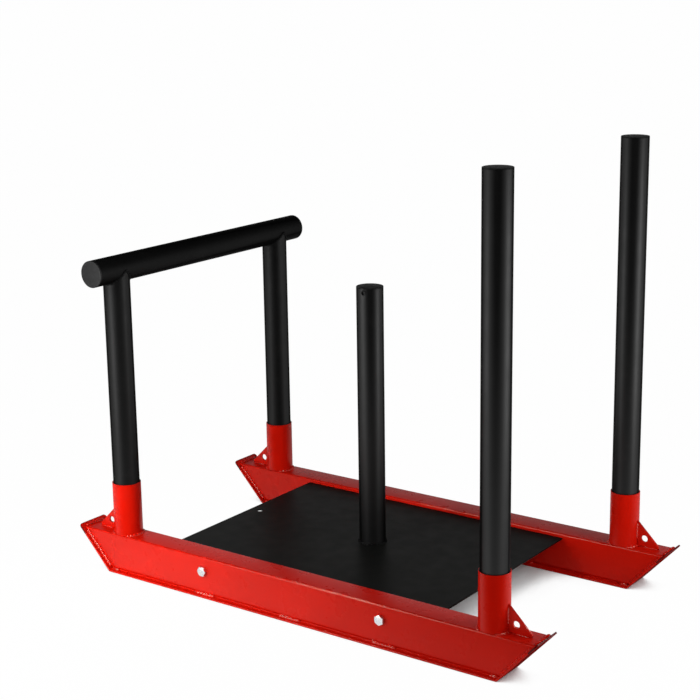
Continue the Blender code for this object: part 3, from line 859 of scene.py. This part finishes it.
def drill_vent(post, radius, top):
    """Drills the countersunk vent below the post's top."""
    lip = 0.0035
    bevel = 0.0016
    turn = math.radians(8)
    hole = sled_sizes().vent_hole / 2
    wide = hole + bevel + 0.001
    cutter = [(0, radius / 2), (wide, radius / 2), (wide, 0.0002)]
    cutter += [(hole, -bevel), (hole, -radius / 2), (0, -radius / 2)]
    form = turned(cutter, 32)
    bmesh.ops.recalc_face_normals(form, faces=form.faces)
    drill = add_object("vent_drill", smooth_mesh(form, "vent_drill"))
    place = Vector((math.sin(turn), -math.cos(turn), 0)) * radius
    place.z = top - lip - hole
    drill.matrix_world = Matrix.Translation(place) @ Matrix.Rotation(turn, 4, "Z") @ LYING
    cut = post.modifiers.new("vent", "BOOLEAN")
    cut.operation = "DIFFERENCE"
    cut.solver = "EXACT"
    cut.object = drill
    drilled = shown_mesh(post)
    post.modifiers.remove(cut)
    bpy.data.objects.remove(drill, do_unlink=True)
    drilled.shade_smooth()
    drilled.set_sharp_from_angle(angle=SHARP_FROM)
    post.data = drilled


class SLED_OT_middle_post(bpy.types.Operator):
    """The post on the deck that carries the plates, with its vent hole"""

    bl_idname = "sled.middle_post"
    bl_label = "Middle post"

    def execute(self, context):
        post = add_post("middle_post", "middle_post_plug", "sled_frame")
        drill_vent(post, size_of("middle_post").x / 2, top_of("middle_post"))
        return {"FINISHED"}


class SLED_OT_tall_posts(bpy.types.Operator):
    """Two tall posts that lift out of the front sockets"""

    bl_idname = "sled.tall_posts"
    bl_label = "Tall posts"

    def execute(self, context):
        for side_name, _ in SIDES:
            body = f"tall_post_{side_name}"
            add_post(body, f"tall_post_plug_{side_name}", body)
        return {"FINISHED"}


def add_handle_upright(node, bar_height, radius):
    """A tube whose top is shaped to sit under the crossbar."""
    sizes = sled_sizes()
    place = foot_point(node)
    seat = radius + SEAT_GAP

    def saddle(r):
        return lambda a: bar_height - math.sqrt(seat**2 - (r * math.cos(a)) ** 2) - place.z

    inner = radius - sizes.tube_wall
    rim = sizes.rim_round
    profile = [(radius, saddle(radius)), (radius, rim), (radius - rim, 0)]
    profile += [(inner + rim, 0), (inner, rim), (inner, saddle(inner))]
    mesh = mesh_from(turned(profile, sizes.turns, loop=True), f"{node}_tube")
    dress(node, mesh, "sled_upright", place, body="push_handle")


class SLED_OT_push_handle(bpy.types.Operator):
    """The low handle: two uprights under a crossbar with a cap at each end"""

    bl_idname = "sled.push_handle"
    bl_label = "Push handle"

    def execute(self, context):
        wall = sled_sizes().tube_wall
        bar = middle_of("handle_crossbar")
        size = size_of("handle_crossbar")
        radius = size.z / 2
        end = Vector((bar.x, size.y / 2, bar.z))
        add_tube("handle_crossbar", "sled_grip", "push_handle", radius, wall, size.y, end, LYING)
        for side_name, side in SIDES:
            add_handle_upright(f"handle_upright_{side_name}", bar.z, radius)
            cap = f"handle_cap_{side_name}"
            low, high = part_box(cap)
            tube_end = side * size.y / 2
            inner, outer = (low.y, high.y)[::side]
            turn = Matrix.Rotation(-side * math.radians(90), 4, "X")
            place = Vector((bar.x, tube_end, bar.z))
            add_plug(cap, "push_handle", radius, abs(outer - tube_end), abs(tube_end - inner), place, turn)
        return {"FINISHED"}


def bolt_mesh(name, thread, head, shank, start):
    """A hex bolt along Z: a chamfered head on a washer face, a plain shank and a thread."""
    flats = 1.6 * thread
    chamfer = 0.47 * flats
    washer = 0.0006
    crest = thread / 2
    plain = shank * 0.62
    pitch = thread * 0.15

    def hexagon(a):
        turn = (a - start) % math.radians(60) - math.radians(30)
        return flats / 2 / math.cos(turn)

    def shoulder(a):
        return head - (hexagon(a) - chamfer) * math.tan(math.radians(30))

    profile = [(0, head), (chamfer, head), (hexagon, shoulder), (hexagon, washer)]
    profile += [(chamfer, washer), (chamfer, 0), (crest, 0), (crest, -plain)]
    z = -plain
    while z - pitch > -shank + 0.0008:
        profile += [(crest * 0.92, z - pitch * 0.5), (crest, z - pitch)]
        z -= pitch
    profile += [(crest * 0.85, -shank), (0, -shank)]
    return mesh_from(turned(profile, 72), name)


class SLED_OT_fasteners(bpy.types.Operator):
    """Four hex bolts with washer faces and chamfered heads; the nuts keep the frame's shape"""

    bl_idname = "sled.fasteners"
    bl_label = "Fasteners"

    def execute(self, context):
        thread = sled_sizes().bolt_thread
        head = 0.64 * thread
        for corner, end, side in corners():
            node = f"bolt_{corner}"
            low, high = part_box(node)
            middle = middle_of(node)
            start = math.radians(0 if end < 0 else 30)
            mesh = bolt_mesh(f"{node}_steel", thread, head, (high.y - low.y) - head, start)
            turn = Matrix.Rotation(-side * math.radians(90), 4, "X")
            root = (high.y if side > 0 else low.y) - side * head
            dress(node, mesh, "sled_zinc", (middle.x, root, middle.z), turn)
            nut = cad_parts[f"nut_{corner}"]
            nut.material_slots[0].material = finish("sled_zinc")
        return {"FINISHED"}


# Where the stitches along a skid begin and end
STITCHES = ((-0.412, -0.396), (-0.213, -0.166), (-0.022, 0.024), (0.172, 0.219), (0.396, 0.412))


def weld_end_seams(name, end, centre, half, seed):
    """Three beads at a beam's end: down both sides and along the top."""
    inset = 0.006
    lift = 0.0015
    corner, _, angle = skid_section()
    rise = (top_of("runner_beam_right") - corner.y) / math.sin(angle)
    slope = Vector((end * math.cos(angle), 0, math.sin(angle)))
    inward = Vector((-end * math.sin(angle), 0, math.cos(angle)))
    foot = Vector((end * corner.x, centre, corner.y)) + inward * lift
    coat = "sled_red_bead" if end < 0 else "sled_red"
    for number, (label, face) in enumerate(SIDES):
        aside = Vector((0, face, 0))
        edge = foot + aside * half
        path = [edge + slope * inset, edge + slope * (rise - inset)]
        weld(f"{name}_{label}_seam", path, aside + inward, seed + number, coat)
    ledge = foot + slope * (rise + 0.0004)
    reach = Vector((0, half - sled_sizes().beam_corner, 0))
    weld(f"{name}_top_seam", [ledge - reach, ledge + reach], UP + inward, seed + 2, coat)


class SLED_OT_runner_welds(bpy.types.Operator):
    """Beads along the beams' ends, stitches along the skids"""

    bl_idname = "sled.runner_welds"
    bl_label = "Runner welds"

    def execute(self, context):
        z = sled_sizes().skid_thickness + 0.001
        half = size_of("runner_beam_right").y / 2
        seed = 11
        for side_name, _ in SIDES:
            centre = middle_of(f"runner_beam_{side_name}").y
            for end_name, end in ENDS:
                weld_end_seams(f"weld_{end_name}_{side_name}", end, centre, half, seed)
                seed += 3
            for label, face in SIDES:
                y = centre + face * (half - 0.0006)
                for number, span in enumerate(STITCHES):
                    name = f"weld_stitch_{side_name}_{label}_{number + 1}"
                    weld(name, [Vector((x, y, z)) for x in span], Vector((0, face, 1)), seed)
                    seed += 1
        return {"FINISHED"}


def weld_socket(socket, foot, seed):
    """Two fillets round a socket's foot, behind it and before it."""
    half_turn = 56
    radius = size_of(socket).x / 2 + 0.0004
    for number, (label, face) in enumerate(ENDS):
        towards = 0 if face > 0 else 180
        path, out = level_ring(foot, radius, towards - half_turn, towards + half_turn, 12)
        weld(f"weld_{socket}_{label}", path, out, seed + number)


def weld_gusset(gusset, end, foot, seed):
    """Beads on both faces of a gusset, along its foot and up its edge."""
    low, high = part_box(gusset)
    inner, outer = (low.x, high.x)[::end]
    for label, face in SIDES:
        y = high.y if face > 0 else low.y
        along = [Vector((x, y, foot)) for x in (inner + end * 0.014, outer - end * 0.004)]
        upward = [Vector((inner, y, z)) for z in (foot + 0.012, high.z - 0.004)]
        for part, path, out in (("foot", along, (0, face, 1)), ("edge", upward, (end, face, 0))):
            weld(f"weld_{gusset}_{label}_{part}", path, Vector(out), seed, radius=0.0022)
            seed += 1


class SLED_OT_socket_welds(bpy.types.Operator):
    """Fillets round the sockets' feet and along the gussets"""

    bl_idname = "sled.socket_welds"
    bl_label = "Socket welds"

    def execute(self, context):
        seed = 101
        for corner, end, _ in corners():
            foot = foot_point(f"socket_{corner}") - UP * SEAT_GAP
            weld_socket(f"socket_{corner}", foot, seed)
            weld_gusset(f"gusset_{corner}", end, foot.z, seed + 2)
            seed += 6
        return {"FINISHED"}


class SLED_OT_post_welds(bpy.types.Operator):
    """Fillets round the middle post's foot and at the handle's joints"""

    bl_idname = "sled.post_welds"
    bl_label = "Post welds"

    def execute(self, context):
        steps = 48
        radius = size_of("middle_post").x / 2
        path, out = level_ring(UP * top_of("deck_plate"), radius, 0, 350, 35)
        weld("weld_middle_post", path, out, 301, "sled_grip", radius=0.0026, closed=True)
        bar = middle_of("handle_crossbar")
        for side_name, side in SIDES:
            centre = middle_of(f"handle_upright_{side_name}")
            path = []
            out = []
            for step in range(steps):
                a = 2 * math.pi * step / steps
                x = radius * math.cos(a)
                drop = math.sqrt(max(0.0, radius**2 - x**2))
                path.append(Vector((centre.x + x, centre.y + radius * math.sin(a), bar.z - drop)))
                # Halfway between straight out of the bar and straight out of the upright
                out.append(Vector((2 * math.cos(a), math.sin(a), -drop / radius)).normalized())
            name = f"weld_handle_{side_name}"
            weld(name, path, out, 310 + side, "sled_grip", "push_handle", 0.0024, closed=True)
        return {"FINISHED"}


# Studio


def seen_or_mirrored(tree):
    """1 for what the camera sees, straight, in a gloss or through glass, and 0 for light that falls."""
    path = add_node(tree, "ShaderNodeLightPath").outputs
    seen = path["Is Camera Ray"]
    for ray in ("Is Glossy Ray", "Is Transmission Ray"):
        seen = reckon("MAXIMUM", seen, path[ray])
    return seen


def pale_floor(colour, white, reach):
    """Matt studio floor, lifted to white where it is seen, but not in the sled's own shade."""
    material, shader, place = start_material("studio_floor")
    tone = spread(noise(place, 3, 4), 0.3, 0.7, 0.0, 1.0)
    base = blend_colours(tone, tint(colour, 0.99), tint(colour, 1.01))
    rough = spread(noise(place, 12, 3), 0.3, 0.7, 0.75, 0.85)
    tree = material.node_tree
    normal = add_node(tree, "ShaderNodeBump", {"Height": noise(place, 300, 3), "Strength": 0.02}).outputs[0]
    feed(shader, {"Base Color": base, "Roughness": rough, "Normal": normal, "Specular IOR Level": 0.0})
    openness = add_node(tree, "ShaderNodeAmbientOcclusion", {"Distance": reach}, samples=8).outputs["AO"]
    lifted = spread(openness, 0.23, 0.4, 0.0, white)
    glow = add_node(tree, "ShaderNodeEmission", {"Color": (1, 1, 1, 1), "Strength": 1.0}).outputs[0]
    inputs = {0: reckon("MULTIPLY", seen_or_mirrored(tree), lifted), 1: shader.outputs[0], 2: glow}
    mix = add_node(tree, "ShaderNodeMixShader", inputs).outputs[0]
    feed(tree.nodes["Material Output"], {"Surface": mix})
    return material


def make_room(strength):
    """A room that is pale at the floor's edge and grows dim with height."""
    world = bpy.data.worlds.new("studio_room")
    bpy.context.scene.world = world
    world.use_nodes = True
    tree = world.node_tree
    place = add_node(tree, "ShaderNodeTexCoord").outputs["Generated"]
    height = add_node(tree, "ShaderNodeSeparateXYZ", {0: place}).outputs["Z"]
    near_floor = spread(height, 0.0, 0.26, 0.92, 0.0)
    backdrop = spread(height, 0.0, 0.5, 0.92, 0.0)
    backdrop = reckon("MULTIPLY", backdrop, seen_or_mirrored(tree))
    above = spread(height, 0.2, 1.0, strength, strength * 0.6)
    tone = reckon("ADD", reckon("MAXIMUM", near_floor, backdrop), above)
    feed(tree.nodes["Background"], {"Color": tone})


# Each lamp: its name and that of its power, its place, its target, its width and height, and
# its beam in degrees, narrowed as by a grid
LAMPS = (
    ("left_lamp", (-0.35, -1.05, 0.55), (-0.42, -0.2, 0.1), (0.5, 0.9), 95),
    ("low_lamp", (-0.6, -1.1, 0.35), (-0.3, -0.2, 0.1), (0.5, 0.5), 180),
    ("corner_lamp", (-0.35, -0.95, 0.8), (-0.35, -0.2, 0.07), (0.16, 0.16), 60),
    ("edge_lamp", (-0.65, -0.56, 1.18), (0.15, -0.2, 0.07), (0.5, 0.06), 60),
    ("glint_lamp", (1.1, -0.7, 0.8), (0.42, -0.1, 0.07), (0.12, 0.12), 70),
    ("back_lamp", (0.75, 0.6, 0.65), (0.43, -0.2, 0.08), (0.14, 0.14), 60),
    ("front_lamp", (0.4, -1.9, 0.9), (0, 0, 0.2), (0.9, 0.9), 180),
    ("right_lamp", (1.0, 0.12, 0.42), (0.3, 0.08, 0.2), (0.4, 0.7), 180),
)


def add_lamp(name, power, place, target, size, beam):
    """A soft box that the camera doesn't see."""
    lamp = bpy.data.lights.new(name, "AREA")
    lamp.shape = "RECTANGLE"
    lamp.size, lamp.size_y = size
    lamp.energy = power
    lamp.spread = math.radians(beam)
    holder = add_object(name, lamp)
    holder.visible_camera = False
    holder.location = place
    holder.rotation_euler = (Vector(target) - Vector(place)).to_track_quat("-Z", "Y").to_euler()


def add_camera(studio):
    """The camera, turned round the sled, tilted down and rolled."""
    lens = bpy.data.cameras.new("camera")
    lens.lens = studio.camera_lens
    lens.sensor_width = 36
    camera = add_object("camera", lens)
    turn = Matrix.Rotation(studio.camera_azimuth, 4, "Z")
    tilt = Matrix.Rotation(math.radians(90) - studio.camera_elevation, 4, "X")
    roll = Matrix.Rotation(studio.camera_roll, 4, "Z")
    camera.matrix_world = Matrix.Translation(studio.camera_place) @ turn @ tilt @ roll
    return camera


class SLED_OT_studio(bpy.types.Operator):
    """A pale floor, soft boxes, a pale room and the camera"""

    bl_idname = "sled.studio"
    bl_label = "Studio"

    def execute(self, context):
        scene = context.scene
        studio = scene.sled_studio
        form = bmesh.new()
        bmesh.ops.create_circle(form, cap_ends=True, segments=96, radius=60)
        floor = add_object("floor", smooth_mesh(form, "floor"))
        floor.location.z = -0.0002
        white = studio.floor_white
        floor.data.materials.append(pale_floor(scene.sled_colours.floor, white, studio.floor_shade))
        for name, place, target, size, beam in LAMPS:
            add_lamp(name, getattr(studio, name), place, target, size, beam)
        make_room(studio.room)
        scene.camera = add_camera(studio)
        scene.view_settings.view_transform = "Standard"
        return {"FINISHED"}


OPERATORS = (
    SLED_OT_skid_plates,
    SLED_OT_runner_beams,
    SLED_OT_sockets,
    SLED_OT_gussets,
    SLED_OT_deck,
    SLED_OT_underframe,
    SLED_OT_middle_post,
    SLED_OT_tall_posts,
    SLED_OT_push_handle,
    SLED_OT_fasteners,
    SLED_OT_runner_welds,
    SLED_OT_socket_welds,
    SLED_OT_post_welds,
    SLED_OT_studio,
)


class SLED_PT_panel(bpy.types.Panel):
    """Lists the sled's sizes, colours and pieces"""

    bl_label = "Weight Sled"
    bl_idname = "SLED_PT_panel"
    bl_space_type = "VIEW_3D"
    bl_region_type = "UI"
    bl_category = "Sled"

    def draw(self, context):
        layout = self.layout
        for group in (context.scene.sled_sizes, context.scene.sled_colours, context.scene.sled_studio):
            box = layout.box()
            for name in group.__annotations__:
                box.prop(group, name)
        for operator in OPERATORS:
            layout.operator(operator.bl_idname)


CLASSES = (SledSizes, SledColours, SledStudio) + OPERATORS + (SLED_PT_panel,)


def register():
    for item in CLASSES:
        bpy.utils.register_class(item)
    bpy.types.Scene.sled_sizes = PointerProperty(type=SledSizes)
    bpy.types.Scene.sled_colours = PointerProperty(type=SledColours)
    bpy.types.Scene.sled_studio = PointerProperty(type=SledStudio)


def unregister():
    del bpy.types.Scene.sled_studio
    del bpy.types.Scene.sled_colours
    del bpy.types.Scene.sled_sizes
    for item in reversed(CLASSES):
        bpy.utils.unregister_class(item)


def main():
    register()
    for operator in OPERATORS:
        group, name = operator.bl_idname.split(".")
        getattr(getattr(bpy.ops, group), name)()


if __name__ == "__main__":
    main()
